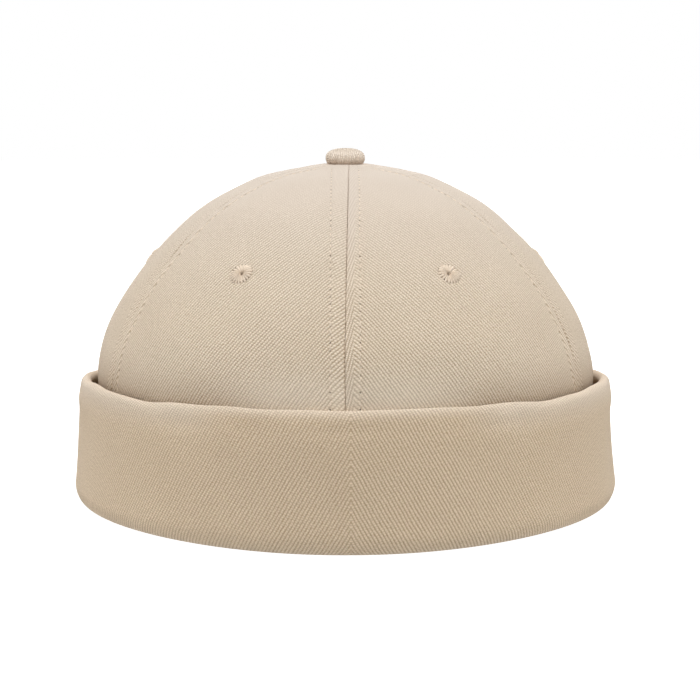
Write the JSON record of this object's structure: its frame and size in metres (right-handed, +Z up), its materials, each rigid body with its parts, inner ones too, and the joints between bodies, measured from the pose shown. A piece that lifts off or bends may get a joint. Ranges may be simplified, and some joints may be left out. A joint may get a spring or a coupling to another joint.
{
  "type": "docker cap",
  "caption": "Brimless round cloth cap with a panelled crown, a deep turned-up cuff, a covered top button and sewn air eyelets.",
  "frame": {"origin": "centre of the bounding box at its bottom, on the surface that the cap stands on", "axes": "+Z up, -Y towards the front of the cap, +X to the right as seen from the front"},
  "size_m": [0.1946, 0.2046, 0.1247],
  "materials": {
    "crown_twill": "sand-coloured heavy cotton twill, matt, with fine diagonal ribs",
    "cuff_twill": "the same twill, turned up as a double layer",
    "button_twill": "the same twill, gathered over a button",
    "thread": "matching sewing thread, closely worked"
  },
  "bodies": {
    "root": {"panel_front_left": "crown_twill", "panel_front_right": "crown_twill", "panel_side_left": "crown_twill", "panel_side_right": "crown_twill", "panel_back_left": "crown_twill", "panel_back_right": "crown_twill", "cuff": "cuff_twill", "top_button": "button_twill", "eyelet_front_left": "thread", "eyelet_front_right": "thread", "eyelet_side_left": "thread", "eyelet_side_right": "thread", "eyelet_back_left": "thread", "eyelet_back_right": "thread"}
  },
  "joints": []
}
